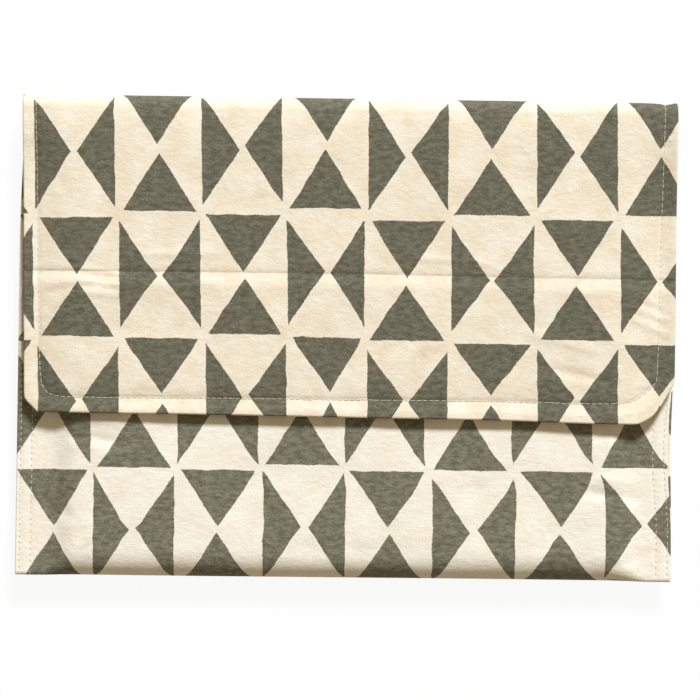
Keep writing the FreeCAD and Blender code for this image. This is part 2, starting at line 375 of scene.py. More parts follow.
def flap_relief(x, s):
    """Creases, hem and wrinkles of the flap, in metres out of its plain shape."""
    y = FOLD_Y - (s - FLAP_START)
    flat = smooth((s - SPINE_END) / (12 * MM))
    calm = 1 - 0.85 * tape_calm(x, y)
    waves = 0.4 * MM * swell(x, y, 48 * MM, 11) + 0.13 * MM * swell(x, y, 12 * MM, 12)
    wander = CREASE_Y + 0.5 * MM * swell(x, x * 0, 60 * MM, 13)
    depth = 0.95 + 0.3 * swell(x, x * 0, 35 * MM, 14) + 0.4 * hump((x + 0.13) / 0.05)
    below = wander - y
    valley = np.exp(-np.abs(below) / np.where(below < 0, CREASE_ABOVE, CREASE_BELOW))
    bank = smooth(below / (8 * MM)) * np.exp(-np.maximum(below - 8 * MM, 0) / (20 * MM))
    crease = (0.6 * bank - 0.5 * valley) * MM * depth
    gap = flap_row_gap(x, s)
    groove = 0.3 * MM * hump(gap / (1.0 * MM))
    dip = 0.7 * MM * np.exp(-np.maximum(gap, 0) / (4.5 * MM))
    hem = HEM_RISE * smooth(-gap / (8 * MM))
    tension = 0.16 * MM * swell(x, s, 5 * MM, 15) * np.exp(-np.abs(gap) / (6 * MM))
    sewn = hem - groove - dip + tension
    return sewn + (waves * calm + crease + pleats(x, y, FLAP_PLEATS)) * flat


def flap_place(x, s):
    y, z = flap_section(s)
    flat = smooth((s - SPINE_END) / (70 * MM))
    side = smooth((np.abs(x) - DROOP_START) / (FLAP_HALF_WIDTH - DROOP_START))
    z = z - FLAP_DROOP * side * flat
    past_fold = np.maximum(s - FLAP_START, 0)
    shoulder = smooth((s - SPINE_END) / FOLD_ARC) * np.exp(-past_fold / (7 * MM))
    lift = flap_relief(x, s) - SHOULDER_DROP * shoulder
    back = np.clip((s - ROOT_END) / FOLD_ARC, 0, 1) * math.pi / 2
    front = np.clip((s - SPINE_END) / FOLD_ARC, 0, 1) * math.pi / 2
    turn = back + front
    lift = np.minimum(lift, 0) + np.maximum(lift, 0) * smooth(turn / (math.pi / 2))
    lift = lift * smooth(s / ROOT_END)
    y = y + lift * np.sin(turn)
    z = z - lift * np.cos(turn)
    near_tip = smooth((s - FLAP_END) / TIP_RUN + 1)
    y = y + (0.5 * MM * swell(x, x * 0, 70 * MM, 21) - TIP_TILT * x) * near_tip
    return np.stack(np.broadcast_arrays(x, y, z), axis=-1)


FLAP = Surface(flap_place, -1)


# -------- meshes from surfaces


def lines(start, *runs):
    """Grid positions from start through runs of (end, step)."""
    places = [start]
    for end, step in runs:
        count = max(1, round(abs(end - places[-1]) / step))
        places += list(np.linspace(places[-1], end, count + 1)[1:])
    return np.array(places)


def mirrored(half):
    """Grid positions from -1 to 1 from those of one half, 0 to 1."""
    return np.concatenate([-half[:0:-1], half])


def put_in_scene(name, data):
    """A new object with the given mesh, lamp or camera, linked into the scene."""
    thing = bpy.data.objects.new(name, data)
    scene.collection.objects.link(thing)
    return thing


def add_mesh(name, points, faces, material, sharp=50):
    mesh = bpy.data.meshes.new(name)
    mesh.from_pydata(points.tolist(), [], faces)
    mesh.materials.append(material)
    mesh.polygons.foreach_set("use_smooth", [True] * len(mesh.polygons))
    mesh.set_sharp_from_angle(angle=math.radians(sharp))
    mesh.update()
    return put_in_scene(name, mesh)


def set_vectors(piece, name, values):
    attribute = piece.data.attributes.new(name, "FLOAT_VECTOR", "POINT")
    attribute.data.foreach_set("vector", values.astype(np.float32).ravel())


def slab(name, surface, x, s, outer, inner, cloth, material):
    """A closed cloth between two depths below a surface, over a grid of cloth coordinates.

    cloth(x, s) gives the weave's coordinates and the print's.
    """
    columns, rows = x.shape
    layers = [surface.at(x, s, outer(x, s)), surface.at(x, s, inner(x, s))]
    points = np.concatenate([layer.reshape(-1, 3) for layer in layers])
    index = np.arange(columns * rows).reshape(columns, rows)
    low = columns * rows
    a, b = index[:-1, :-1].ravel(), index[1:, :-1].ravel()
    c, d = index[1:, 1:].ravel(), index[:-1, 1:].ravel()
    top, bottom = np.stack([a, b, c, d], 1), np.stack([a, d, c, b], 1) + low
    rim = np.concatenate([index[:-1, 0], index[-1, :-1], index[:0:-1, -1], index[0, :0:-1]])
    following = np.roll(rim, -1)
    sides = np.stack([rim, rim + low, following + low, following], 1)
    faces = np.concatenate([top, bottom, sides])
    if surface.side < 0:
        faces = faces[:, ::-1]
    piece = add_mesh(name, points, faces.tolist(), material)
    for field, values in zip(("weave", "print"), cloth(x, s)):
        one_face = values.reshape(-1, 3)
        set_vectors(piece, field, np.concatenate([one_face, one_face]))
    return piece


def line_length(surface, x, s):
    """The length so far at each point of a line of cloth coordinates."""
    points = surface.at(x, s)
    steps = np.linalg.norm(np.diff(points, axis=0), axis=1)
    return np.concatenate([[0], np.cumsum(steps)])


# A stitch's length, half its width, and how high it stands.
SEAM_STITCH = (1.8 * MM, 0.24 * MM, 0.26 * MM)
TOP_STITCH = (2.85 * MM, 0.17 * MM, 0.24 * MM)
STITCH_SINK = 0.12 * MM
STITCH_SWAY = 0.07 * MM
STATIONS = np.linspace(-1, 1, 7)
SIDES = 6


def stitches(name, surface, x, s, material, depth=0.0, out=1, seed=1, kind=SEAM_STITCH):
    """A row of separate stitches along a line of cloth coordinates, each diving in at its ends.

    depth is where the cloth's face lies below the surface; out is -1 on its underside.
    """
    stitch_length, half_width, height = kind
    length = line_length(surface, x, s)
    rng = np.random.default_rng(seed)
    middles = np.arange(0.5 * STITCH_PITCH, length[-1] - 0.4 * STITCH_PITCH, STITCH_PITCH)
    middles = middles + rng.normal(0, 0.05 * STITCH_PITCH, len(middles))
    halves = stitch_length / 2 * rng.uniform(0.9, 1.08, len(middles))
    sway = rng.normal(0, STITCH_SWAY, (len(middles), 2))
    at = middles[:, None] + halves[:, None] * STATIONS
    px, ps = np.interp(at, length, x), np.interp(at, length, s)
    rise = height * np.sqrt(np.clip(1 - STATIONS**2, 0, 1)) - STITCH_SINK
    centre = surface.at(px, ps, depth - out * np.broadcast_to(rise, px.shape))
    normal = centre - surface.at(px, ps, np.full(px.shape, depth + out * 1 * MM))
    normal /= np.linalg.norm(normal, axis=-1, keepdims=True)
    tangent = np.gradient(surface.at(px, ps), axis=1)
    tangent /= np.linalg.norm(tangent, axis=-1, keepdims=True)
    across = np.cross(normal, tangent)
    lean = (sway[:, :1] * (1 - STATIONS) + sway[:, 1:] * (1 + STATIONS)) / 2
    centre = centre + across * lean[..., None]
    fat = (0.35 + 0.65 * np.sqrt(np.clip(1 - STATIONS**4, 0, 1)))[None, :, None]
    angles = 2 * math.pi * np.arange(SIDES) / SIDES
    wide, high = across * half_width, normal * 0.75 * half_width
    rings = [centre + fat * (wide * math.cos(t) + high * math.sin(t)) for t in angles]
    points = np.stack(rings, axis=2)
    count, stations = len(middles), len(STATIONS)
    index = np.arange(count * stations * SIDES).reshape(count, stations, SIDES)
    turned = np.roll(index, -1, axis=2)
    walls = np.stack([index[:, :-1], turned[:, :-1], turned[:, 1:], index[:, 1:]], -1)
    faces = walls.reshape(-1, 4).tolist()
    faces += index[:, 0, ::-1].tolist() + index[:, -1].tolist()
    piece = add_mesh(name, points.reshape(-1, 3), faces, material, sharp=80)
    twist_relief_and_shade = np.stack(np.broadcast_arrays(at[..., None], angles, 0.0), -1)
    set_vectors(piece, "weave", twist_relief_and_shade.reshape(-1, 3))
    return piece


# -------- materials


def linear(red, green, blue):
    """A colour given as it shows on a screen, from 0 to 255, as Blender's linear colour."""
    shares = (v / 255 for v in (red, green, blue))
    return tuple(v / 12.92 if v < 0.04045 else ((v + 0.055) / 1.055) ** 2.4 for v in shares) + (1,)


class Graph:
    """A material's nodes, with short names for those used here."""

    def __init__(self, name, roughness=0.9, specular=0.25, sheen=0.0):
        self.material = bpy.data.materials.new(name)
        self.material.use_nodes = True
        self.tree = self.material.node_tree
        self.shader = self.tree.nodes["Principled BSDF"]
        self.shader.inputs["Roughness"].default_value = roughness
        self.shader.inputs["Specular IOR Level"].default_value = specular
        self.shader.inputs["Sheen Weight"].default_value = sheen
        self.shader.inputs["Sheen Roughness"].default_value = 0.5

    def add(self, kind, inputs=(), **settings):
        node = self.tree.nodes.new(kind)
        for key, value in settings.items():
            setattr(node, key, value)
        for key, value in dict(inputs).items():
            socket = node.inputs[key]
            if isinstance(value, bpy.types.NodeSocket):
                self.tree.links.new(value, socket)
            else:
                socket.default_value = value
        return node

    def calc(self, operation, *values):
        node = self.add("ShaderNodeMath", enumerate(values), operation=operation)
        return node.outputs[0]

    def field(self, name):
        return self.add("ShaderNodeAttribute", attribute_name=name).outputs["Vector"]

    def split(self, vector):
        node = self.add("ShaderNodeSeparateXYZ", {0: vector})
        return node.outputs[0], node.outputs[1], node.outputs[2]

    def join(self, x, y, z):
        return self.add("ShaderNodeCombineXYZ", {0: x, 1: y, 2: z}).outputs[0]

    def scaled(self, vector, factors):
        node = self.add("ShaderNodeVectorMath", {0: vector, 1: factors}, operation="MULTIPLY")
        return node.outputs[0]

    def noise(self, vector, detail=2.0, roughness=0.5):
        """Noise of about one feature per unit of the vector, from about 0.3 to 0.7."""
        inputs = {"Vector": vector, "Scale": 1.0, "Detail": detail, "Roughness": roughness}
        return self.add("ShaderNodeTexNoise", inputs).outputs[0]

    def ramp(self, value, low, high):
        """0 below low, 1 above high, smooth between."""
        inputs = {"Value": value, "From Min": low, "From Max": high}
        return self.add("ShaderNodeMapRange", inputs, interpolation_type="SMOOTHSTEP").outputs[0]

    def mix(self, share, first, second):
        node = self.add("ShaderNodeMix", {0: share, 6: first, 7: second}, data_type="RGBA")
        return node.outputs[2]

    def colour(self, socket):
        self.tree.links.new(socket, self.shader.inputs["Base Color"])

    def bump(self, height, distance, strength=1.0):
        inputs = {"Height": height, "Distance": distance, "Strength": strength}
        node = self.add("ShaderNodeBump", inputs)
        self.tree.links.new(node.outputs[0], self.shader.inputs["Normal"])


FLAP_CREAM = (linear(250, 240, 219), linear(241, 226, 196))
# The body's cream is a lighter copy of the flap's: painted light, for brighter light on the lower
# part.
BODY_CREAM_PAINTED_LIGHTER = (linear(253, 247, 231), linear(247, 237, 214))
CREAM_STAIN = linear(214, 190, 146)
FLAP_INK = (linear(90, 87, 70), linear(123, 119, 100))
# The body's ink is a lighter copy of the flap's: painted light, for brighter light on the lower part.
BODY_INK_PAINTED_LIGHTER = (linear(99, 96, 76), linear(138, 135, 114))
COTTON_ROUGHNESS = 0.95
INK_ROUGHNESS = 0.78
THREAD_PITCH = 0.56 * MM


def weave_height(graph, weave, pitch):
    """A plain weave's relief with slubs: uneven thicker threads both ways."""
    x, y, _ = graph.split(weave)
    turn_x = graph.calc("COSINE", graph.calc("MULTIPLY", x, math.pi / pitch))
    turn_y = graph.calc("COSINE", graph.calc("MULTIPLY", y, math.pi / pitch))
    cross = graph.calc("ABSOLUTE", graph.calc("MULTIPLY", turn_x, turn_y))
    slub_across = graph.noise(graph.scaled(weave, (150, 1500, 1)), 3.0)
    slub_along = graph.noise(graph.scaled(weave, (1500, 260, 1)), 3.0)
    slubs = graph.calc("ADD", slub_across, slub_along)
    return graph.calc("MULTIPLY_ADD", cross, 0.45, graph.calc("MULTIPLY", slubs, 0.9)), slubs


STAIN_SHARE = 0.5


def cotton(graph, weave, slubs, light, deep, stain):
    """Natural cotton: soft patches, thread-to-thread streaks and a few stains."""
    patches = graph.noise(graph.scaled(weave, (70, 70, 1)), 4.0, 0.6)
    tone = graph.calc("MULTIPLY_ADD", slubs, 0.45, graph.calc("MULTIPLY", patches, 1.5))
    base = graph.mix(graph.ramp(tone, 0.85, 1.55), light, deep)
    spots = graph.noise(graph.scaled(weave, (34, 48, 1)), 5.0, 0.65)
    share = graph.calc("MULTIPLY", graph.ramp(spots, 0.58, 0.78), STAIN_SHARE)
    return graph.mix(share, base, stain)


# Shares of half a cell.
TIP_GAP = 0.045
BASE_SPREAD = 0.024
LEVEL_BASE = 0.972
UPRIGHT_HALF_BASE = 0.865
HALF_BASE_SPREAD = 0.03
LEAN_SPREAD = 0.09
# In mm, for level and then upright triangles: half a cell, and its part square to a slant.
HALF_CELL_MM = (22.2, 34.1)
SLANT_MM = (20.2, 18.9)
WOBBLE_MM = 1.5
TEAR_MM = 0.8
INK_EDGE_MM = 0.14


def ink_mask(graph, weave, cell, base_reach, half_reach):
    """Block-printed hourglasses: each cell has its left and right, or top and bottom, quarter.

    base_reach is how far an upright triangle's base lies from the cell's middle, and half_reach
    how far a level triangle's base runs either way.
    """
    across, up, _ = graph.split(cell)
    i, j = graph.calc("FLOOR", across), graph.calc("FLOOR", up)
    a = graph.calc("MULTIPLY_ADD", graph.calc("SUBTRACT", across, i), 2.0, -1.0)
    b = graph.calc("MULTIPLY_ADD", graph.calc("SUBTRACT", up, j), 2.0, -1.0)
    upright = graph.calc("FLOORED_MODULO", graph.calc("ADD", i, j), 2.0)

    def pick(when_level, when_upright):
        """The first value in a left-and-right cell, the second in a top-and-bottom one."""
        inputs = {0: upright, 2: when_level, 3: when_upright}
        return graph.add("ShaderNodeMix", inputs, data_type="FLOAT").outputs[0]

    main, cross = pick(a, b), pick(b, a)
    end = graph.calc("SIGN", main)
    jitter = graph.add("ShaderNodeTexWhiteNoise", {"Vector": graph.join(i, j, end)}).outputs["Color"]
    r1, r2, r3 = graph.split(jitter)
    reach = graph.calc("ABSOLUTE", main)
    gap = graph.calc("MULTIPLY_ADD", r1, TIP_GAP, TIP_GAP)
    base = graph.calc("MULTIPLY_ADD", r2, -BASE_SPREAD, pick(LEVEL_BASE, base_reach))
    lean = graph.calc("MULTIPLY", graph.calc("SUBTRACT", r3, 0.5), LEAN_SPREAD)
    leaning = graph.calc("MULTIPLY", lean, graph.calc("SUBTRACT", 1.0, reach))
    cross = graph.calc("ABSOLUTE", graph.calc("ADD", cross, leaning))
    wide = pick(half_reach, UPRIGHT_HALF_BASE)
    half_base = graph.calc("MULTIPLY_ADD", r3, HALF_BASE_SPREAD, wide)
    run = graph.calc("DIVIDE", graph.calc("SUBTRACT", reach, gap), graph.calc("SUBTRACT", base, gap))
    slant = graph.calc("SUBTRACT", graph.calc("MULTIPLY", run, half_base), cross)
    slant_mm = graph.calc("MULTIPLY", slant, pick(*SLANT_MM))
    base_mm = graph.calc("MULTIPLY", graph.calc("SUBTRACT", base, reach), pick(*HALF_CELL_MM))
    inside = graph.calc("MINIMUM", slant_mm, base_mm)
    wobble = graph.noise(graph.scaled(weave, (105, 105, 1)), 1.0)
    ragged = graph.noise(graph.scaled(weave, (900, 900, 1)), 2.0)
    wobbled = graph.calc("MULTIPLY_ADD", graph.calc("SUBTRACT", wobble, 0.5), WOBBLE_MM, inside)
    torn = graph.calc("MULTIPLY_ADD", graph.calc("SUBTRACT", ragged, 0.5), TEAR_MM, wobbled)
    return graph.ramp(torn, -INK_EDGE_MM, INK_EDGE_MM)


def printed_canvas(name, creams, inks, reaches):
    """Cotton canvas with the block print; reaches are ink_mask's base_reach and half_reach."""
    graph = Graph(name, specular=0.16, sheen=0.02)
    weave, cell = graph.field("weave"), graph.field("print")
    height, slubs = weave_height(graph, weave, THREAD_PITCH)
    cream = cotton(graph, weave, slubs, *creams, CREAM_STAIN)
    cloudy = graph.noise(graph.scaled(weave, (230, 420, 1)), 4.0, 0.7)
    streaky = graph.noise(graph.scaled(weave, (120, 900, 1)), 3.0, 0.6)
    coat = graph.calc("MULTIPLY_ADD", cloudy, 1.5, graph.calc("MULTIPLY", streaky, 0.5))
    ink = graph.mix(graph.ramp(coat, 0.72, 1.3), *inks)
    thin = graph.noise(graph.scaled(weave, (1500, 1500, 1)), 2.0, 0.7)
    cover = graph.calc("SUBTRACT", 1.0, graph.calc("MULTIPLY", graph.ramp(thin, 0.6, 0.72), 0.35))
    mask = graph.calc("MULTIPLY", ink_mask(graph, weave, cell, *reaches), cover)
    graph.colour(graph.mix(mask, cream, ink))
    matt = graph.calc("MULTIPLY_ADD", mask, INK_ROUGHNESS - COTTON_ROUGHNESS, COTTON_ROUGHNESS)
    graph.tree.links.new(matt, graph.shader.inputs["Roughness"])
    crinkle = graph.noise(graph.scaled(weave, (260, 330, 1)), 4.0, 0.6)
    relief = graph.calc("MULTIPLY_ADD", crinkle, 3.2, height)
    graph.bump(relief, 0.14 * MM, 0.8)
    return graph.material


def plain_cotton(name, light, deep, stain, pitch):
    graph = Graph(name, roughness=0.95, specular=0.15, sheen=0.08)
    weave = graph.field("weave")
    height, slubs = weave_height(graph, weave, pitch)
    graph.colour(cotton(graph, weave, slubs, light, deep, stain))
    graph.bump(height, 0.1 * MM, 0.6)
    return graph.material


def spun_thread():
    """Two-ply thread: fine slanting grooves along each stitch, with painted shade darkening the
    grooves.
    """
    graph = Graph("sewing_thread", roughness=0.6, specular=0.35, sheen=0.1)
    along, round_it, _ = graph.split(graph.field("weave"))
    slant = graph.calc("MULTIPLY_ADD", along, 2 * math.pi / (0.5 * MM), round_it)
    twist_relief_and_shade = graph.calc("SINE", slant)
    # Darker where the twist is low, in its grooves: painted shade.
    graph.colour(graph.mix(graph.ramp(twist_relief_and_shade, -1.0, 1.0), linear(206, 196, 168), linear(240, 232, 210)))
    graph.bump(twist_relief_and_shade, 0.05 * MM, 0.6)
    return graph.material


def pile(name, light, deep, size):
    """The face of touch tape: a dense bed of hooks or loops, with painted shade in the hollows between
    them.
    """
    graph = Graph(name, roughness=0.7, specular=0.3, sheen=0.2)
    weave = graph.field("weave")
    cells = graph.add("ShaderNodeTexVoronoi", {"Vector": graph.scaled(weave, (1 / size, 1 / size, 1))})
    cells.inputs["Scale"].default_value = 1.0
    hollow_and_painted_shade = graph.ramp(cells.outputs["Distance"], 0.1, 0.7)
    # Darker in the hollows between hooks or loops: painted shade.
    graph.colour(graph.mix(hollow_and_painted_shade, light, deep))
    graph.bump(graph.calc("SUBTRACT", 1.0, hollow_and_painted_shade), 0.35 * MM, 0.9)
    return graph.material


FLAP_LOOK = printed_canvas("printed_flap_canvas", FLAP_CREAM, FLAP_INK, (0.982, 0.855))
# The body's canvas is a lighter copy of the flap's canvas: painted light.
BODY_LOOK_PAINTED_LIGHTER = printed_canvas("printed_body_canvas_painted_lighter", BODY_CREAM_PAINTED_LIGHTER, BODY_INK_PAINTED_LIGHTER, (0.995, 0.9))
LINING_LOOK = plain_cotton(
    "lining_cotton", linear(240, 232, 214), linear(232, 222, 200), linear(225, 213, 188), 0.4 * MM
)
WADDING_LOOK = plain_cotton(
    "padding_wadding", linear(244, 242, 236), linear(232, 229, 220), linear(222, 216, 204), 1.1 * MM
)
STIFFENER_LOOK = plain_cotton(
    "interlining_cloth", linear(246, 244, 236), linear(234, 230, 218), linear(226, 220, 204), 0.8 * MM
)
THREAD_LOOK = spun_thread()
HOOK_LOOK = pile("hook_tape_face", linear(226, 218, 196), linear(178, 168, 142), 1.1 * MM)
LOOP_LOOK = pile("loop_tape_face", linear(232, 225, 206), linear(196, 186, 162), 0.7 * MM)


# -------- fabric coordinates

FLAP_CELL = (44.45 * MM, 68.3 * MM)
BODY_CELL = (45.5 * MM, 68.3 * MM)
FLAP_CORNER = (-167.0 * MM, -68.6 * MM)
FRONT_CORNER = (-180.6 * MM, -67.5 * MM)
BACK_CORNER = (-221.5 * MM, -70.4 * MM)

# How far each column of the hand-set print sits above its place, in mm.
FLAP_UPPER_LIFTS = (-1.3, 1.0, 1.2, 3.1, -1.3, 0, 0, 1.2)
FLAP_LOWER_LIFTS = (-1.6, -0.3, 2.0, 0.7, -1.4, 0, 1.5, 0.8)
FRONT_LIFTS = (-1.4, -0.5, -0.7, 1.8, 0.3, -0.4, 1.0, 2.5)


def column_lift(across, lifts):
    """How far each printed column sits above its place, stepping between the columns."""
    knots = [column + side for column in range(len(lifts)) for side in (0.04, 0.96)]
    return np.interp(across, knots, np.repeat(lifts, 2)) * MM


def flap_print(x, y):
    """The flap's print leans at its left, and its two rows of blocks are set apart."""
    share = (x + HALF_WIDTH) / (2 * HALF_WIDTH)
    upper = (3.8 - 1.5 * share) * MM * smooth(y / (62 * MM))
    lower = 4.8 * MM * share * smooth(-y / (32 * MM))
    up = np.clip((y - 47.5 * MM) / (65 * MM), -1.3, 1.5)
    middle, right = smooth((x + 0.022) / 0.044), smooth((x - 0.055) / 0.045)
    lean = 2.0 - 1.5 * middle + 0.5 * right
    sway = (2.2 * middle - 0.9 * right - 0.8 + lean * up) * MM
    across = (x + sway - FLAP_CORNER[0]) / FLAP_CELL[0]
    is_upper = smooth((y + 0.006) / 0.012)
    lift = column_lift(across, FLAP_UPPER_LIFTS) * is_upper
    lift = lift + column_lift(across, FLAP_LOWER_LIFTS) * (1 - is_upper)
    return x + sway, y + upper - lower - lift


def front_print(x, y):
    """The front's upper row is drawn together, and its lower row rises to the right."""
    share = (x + HALF_WIDTH) / (2 * HALF_WIDTH)
    high = smooth((y + 0.085) / 0.03)
    low_left = (0.6 + 2.0 * smooth((-0.11 - x) / 0.05)) * MM
    print_x = x + 0.024 * (x + 0.082) * high - low_left * (1 - high)
    print_x = print_x + 0.9 * MM * hump((x - 0.055) / 0.03)
    lift = column_lift((print_x - FRONT_CORNER[0]) / BODY_CELL[0], FRONT_LIFTS)
    low = 1 - smooth((y + 0.105) / 0.035)
    rise = (2.3 * share + 3.0 * smooth((x - 0.115) / 0.035)) * low * MM
    lowest = 1.8 * MM * smooth((-0.096 - y) / 0.01)
    drop = (1.9 + 1.1 * smooth((y + 0.07) / 0.012)) * MM
    return print_x, y + drop - rise - lift - lowest


def cloth_of(along, cell, corner, warp, skip=0):
    """The weave's and the print's coordinates of a cloth; skip keeps two prints from matching."""

    def cloth(x, s):
        y = along(x, s)
        zero = np.zeros_like(x)
        weave = np.stack([x + skip * 0.05, y, zero], -1)
        print_x, print_y = warp(x, y)
        across = (print_x - corner[0]) / cell[0] + skip
        up = (print_y - corner[1]) / cell[1] + skip
        return weave, np.stack([across, up, zero], -1)

    return cloth


def body_y(x, s):
    """The print lies straight on the wall, and goes on down the bottom roll."""
    reach = SEAM_ROLL + (ROLL_OUT - SEAM_ROLL) * wall_inside(x)
    left_over = np.maximum(ROLL_LENGTH - s, 0) * reach / ROLL_OUT
    return wall_y(x, np.maximum(s, ROLL_LENGTH))[0] - left_over


def flap_y(x, s):
    return FOLD_Y - (s - FLAP_START) + x * 0


FRONT_CLOTH = cloth_of(body_y, BODY_CELL, FRONT_CORNER, front_print, 20)
BACK_CLOTH = cloth_of(body_y, BODY_CELL, BACK_CORNER, lambda x, y: (x, y), 40)
FLAP_CLOTH = cloth_of(flap_y, FLAP_CELL, FLAP_CORNER, flap_print)


def step(edge, width):
    """1 at an edge and 0 further in than width."""
    return 1 - smooth((edge - width) / (0.3 * MM))


# -------- the body's cloths

EDGE_FINE = 0.2 * MM
PRESSED_WIDTH = 1.1 * MM
SIDE_LINES = lines(
    0, (HALF_WIDTH - 12 * MM, 1.7 * MM), (HALF_WIDTH - 1.4 * MM, 0.8 * MM), (HALF_WIDTH, EDGE_FINE)
)
WALL_LINES = lines(
    0, (3 * MM, 0.4 * MM), (WALL_LENGTH - 9 * MM, 1.0 * MM), (WALL_LENGTH - 1.4 * MM, 0.7 * MM),
    (WALL_LENGTH, EDGE_FINE)
)


def grid(x_lines, s_lines):
    return np.meshgrid(x_lines, s_lines, indexing="ij")


PADDING_FULLNESS = 3.4


def wall_room(x):
    """The padding's thickness, which tapers to nothing at the side seams."""
    return PADDING * np.tanh(PADDING_FULLNESS * wall_inside(x))


def at_depth(depth):
    """The same depth all over a cloth."""
    return lambda x, s: np.full_like(x, depth)


def make_wall(word, surface, cloth):
    """The canvas, padding and lining of the front or the back."""
    canvas_x, canvas_s = grid(mirrored(SIDE_LINES), WALL_LINES)

    def canvas_outer(x, s):
        ends = rounding(HALF_WIDTH - np.abs(x), 0.6 * MM) + rounding(WALL_LENGTH - s, 0.7 * MM)
        return ends + 0.7 * MM * hump(s / PRESSED_WIDTH)

    def canvas_inner(x, s):
        side_lip = step(HALF_WIDTH - np.abs(x), 1.0 * MM) * LINING
        mouth_lip = step(WALL_LENGTH - s, 1.6 * MM) * (wall_room(x) + LINING)
        return CANVAS + np.maximum(side_lip, mouth_lip) + 0.3 * MM * hump(s / PRESSED_WIDTH)

    canvas = slab(
        f"{word}_canvas", surface, canvas_x, canvas_s, canvas_outer, canvas_inner, cloth, BODY_LOOK_PAINTED_LIGHTER
    )
    pad_half = HALF_WIDTH - SEAM_WIDTH - 2 * MM
    pad_x, pad_s = grid(
        mirrored(lines(0, (pad_half, 3 * MM))),
        lines(1.5 * MM, (WALL_LENGTH - 2.2 * MM, 3 * MM)),
    )
    pad = slab(
        f"{word}_padding_layer", surface, pad_x, pad_s,
        at_depth(CANVAS),
        lambda x, s: CANVAS + np.maximum(wall_room(x), 0.05 * MM),
        cloth, WADDING_LOOK,
    )
    lining_half = HALF_WIDTH - 1.4 * MM
    lining_x, lining_s = grid(
        mirrored(lines(0, (HALF_WIDTH - 36 * MM, 3 * MM), (lining_half, 1.5 * MM))),
        lines(1.5 * MM, (WALL_LENGTH - 2.0 * MM, 2 * MM)),
    )
    lining = slab(
        f"{word}_lining_cloth", surface, lining_x, lining_s,
        lambda x, s: CANVAS + wall_room(x),
        lambda x, s: CANVAS + wall_room(x) + LINING,
        cloth, LINING_LOOK,
    )
    return canvas, pad, lining


front_canvas, front_pad, front_lining = make_wall("front", FRONT, FRONT_CLOTH)
back_canvas, back_pad, back_lining = make_wall("back", BACK, BACK_CLOTH)


# -------- the flap's cloths

SQUARE_HALF = 146 * MM


def flap_x(share, s, inset=0.0):
    """Cloth coordinates across the flap: straight in its middle, squeezed to its edges."""
    left, right = flap_sides(s)
    reach = np.where(share < 0, -left, right) - inset - SQUARE_HALF
    spread = (np.abs(share) - SQUARE_HALF) / (FLAP_HALF_WIDTH - SQUARE_HALF)
    wide = SQUARE_HALF + spread * reach
    return np.where(np.abs(share) < SQUARE_HALF, share, np.sign(share) * wide)


def flap_grid(start, end, inset, fine):
    """A grid of the flap's cloth from start to end along it, kept inset inside its edges."""
    sides = lines(
        0, (FLAP_HALF_WIDTH - 26 * MM, 1.3 * MM * fine),
        (FLAP_HALF_WIDTH - 1.6 * MM, 0.85 * MM * fine), (FLAP_HALF_WIDTH, EDGE_FINE * fine)
    )
    crease = FLAP_START + FOLD_Y - CREASE_Y
    runs = [(end, 1.1 * MM * fine)]
    if end > SPINE_MIDDLE:
        runs = [
            (crease - 4 * MM, 1.1 * MM * fine), (crease + 3 * MM, 0.4 * MM * fine),
            (end - 14 * MM, 1.1 * MM * fine), (end - 1.6 * MM, 0.8 * MM * fine),
            (end, EDGE_FINE * fine)
        ]
    share, s = grid(mirrored(sides), lines(start, *runs))
    return flap_x(share, s, inset), s


def nearest_edge(x, s):
    left, right, tip = flap_edges(x, s)
    return np.minimum(np.minimum(left, right), tip)


STIFFENER_INSET = 2.8 * MM
LINING_INSET = 1.2 * MM
HEM_LIP = 2.2 * MM
SLACK = 0.15 * MM


def make_flap_part(word, start, end):
    """The canvas, stiffener and lining of the flap, or of its root, from start to end."""
    is_tip = end > SPINE_MIDDLE

    def canvas_outer(x, s):
        return rounding(nearest_edge(x, s), 1.0 * MM)

    def canvas_inner(x, s):
        return CANVAS + step(nearest_edge(x, s), HEM_LIP) * (INTERLINING + SLACK)

    def lining_inner(x, s):
        edge = nearest_edge(x, s) - LINING_INSET
        return FLAP_DEPTH + SLACK - 0.8 * rounding(edge, LINING)

    x, s = flap_grid(start, end, 0, 1)
    canvas = slab(f"{word}_canvas", FLAP, x, s, canvas_outer, canvas_inner, FLAP_CLOTH, FLAP_LOOK)
    short = STIFFENER_INSET if is_tip else 0
    x, s = flap_grid(start, end - short, STIFFENER_INSET, 2)
    stiffener = slab(
        f"{word}_stiffener", FLAP, x, s,
        at_depth(CANVAS), at_depth(CANVAS + INTERLINING), FLAP_CLOTH, STIFFENER_LOOK,
    )
    short = LINING_INSET if is_tip else 0
    x, s = flap_grid(start, end - short, LINING_INSET, 1.5)
    lining = slab(
        f"{word}_lining_cloth", FLAP, x, s,
        at_depth(CANVAS + INTERLINING + SLACK), lining_inner, FLAP_CLOTH, LINING_LOOK,
    )
    return canvas, stiffener, lining


root_parts = make_flap_part("root", 0.0, SPINE_MIDDLE)
flap_parts = make_flap_part("flap", SPINE_MIDDLE, FLAP_END)


# -------- touch tapes

TAPE_THICKNESS = TAPE_HIGH[2] - TAPE_LOW[2]
TAPE_ROW = 2 * MM


def tape_lines(start, end):
    """Grid positions across a tape, closer together at its edges."""
    rim = 0.6 * MM
    return lines(start, (start + rim, EDGE_FINE), (end - rim, 0.9 * MM), (end, EDGE_FINE))


def tape_grid(word, surface_s):
    """A grid over one tape's place, and its four edges."""
    edges = (TAPE_LOW[0], TAPE_HIGH[0]) if word == "right" else (-TAPE_HIGH[0], -TAPE_LOW[0])
    start, end = sorted((surface_s(TAPE_LOW[1]), surface_s(TAPE_HIGH[1])))
    x, s = grid(tape_lines(*edges), tape_lines(start, end))
    return x, s, (*edges, start, end)


